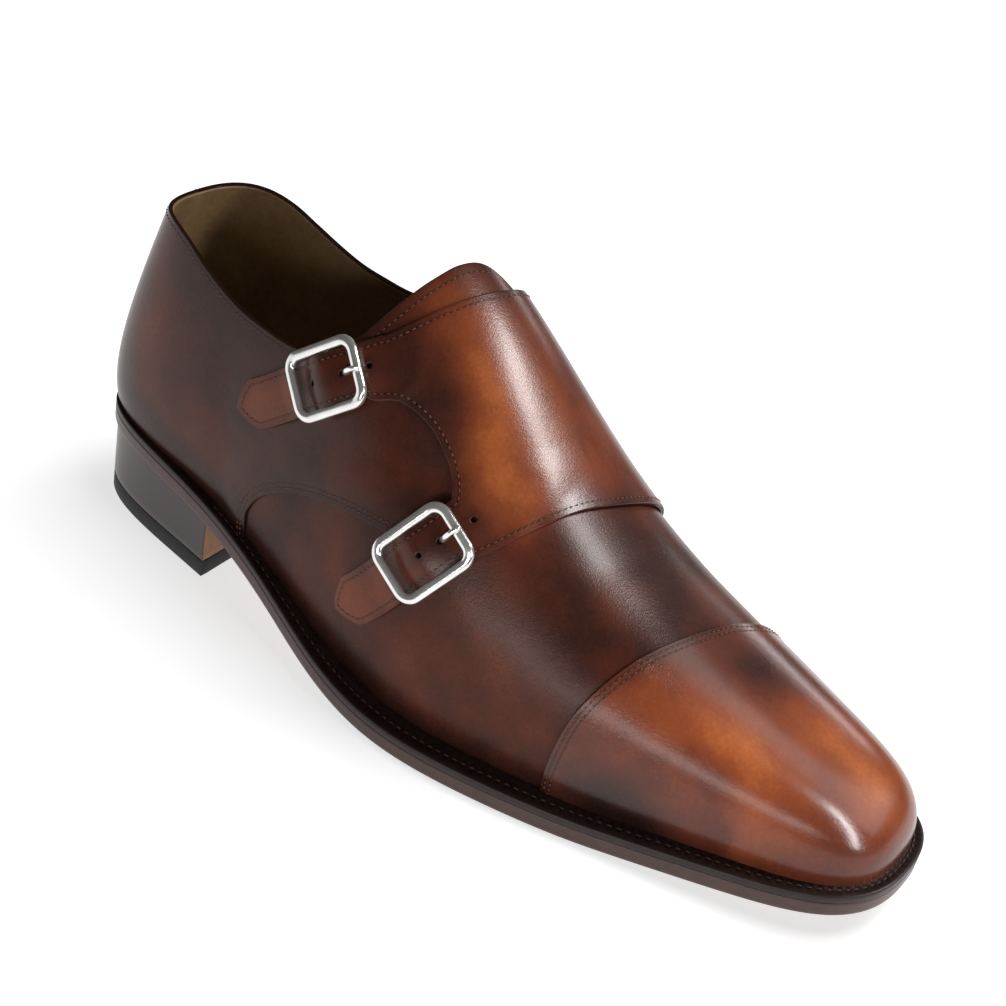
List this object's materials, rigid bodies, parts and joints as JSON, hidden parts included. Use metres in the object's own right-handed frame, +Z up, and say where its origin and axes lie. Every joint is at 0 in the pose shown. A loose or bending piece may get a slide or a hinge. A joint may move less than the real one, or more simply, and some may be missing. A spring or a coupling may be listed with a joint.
{
  "type": "monk strap shoe",
  "caption": "right-foot leather monk strap shoe with toe cap, a buckled flap over the instep, welted leather sole and stacked heel",
  "frame": {"origin": "middle of the shoe's length and width, on the floor", "axes": "+X from heel to toe, +Y to the inner side of the foot, +Z up"},
  "size_m": [0.2918, 0.1033, 0.1258],
  "materials": {
    "brown_calf": "polished calf, dark brown with chestnut patina",
    "lining_leather": "smooth tan lining",
    "insole_leather": "plain tan leather",
    "thread": "waxed brown thread",
    "welt_leather": "dark burnished welt",
    "sole_leather": "dark waxed sole edge",
    "heel_leather": "dark waxed leather lifts",
    "heel_rubber": "matt black rubber",
    "silver": "polished silver-coloured metal"
  },
  "bodies": {
    "root": {"outsole": "sole_leather", "welt": "welt_leather", "heel_stack": "heel_leather", "heel_top_piece": "heel_rubber", "insole": "insole_leather", "upper": "brown_calf", "tongue": "brown_calf", "toe_cap": "brown_calf", "strap_flap": "brown_calf", "buckle_tab_upper": "brown_calf", "buckle_tab_lower": "brown_calf", "buckle_upper": "silver", "buckle_lower": "silver", "prong_upper": "silver", "prong_lower": "silver"}
  },
  "joints": []
}
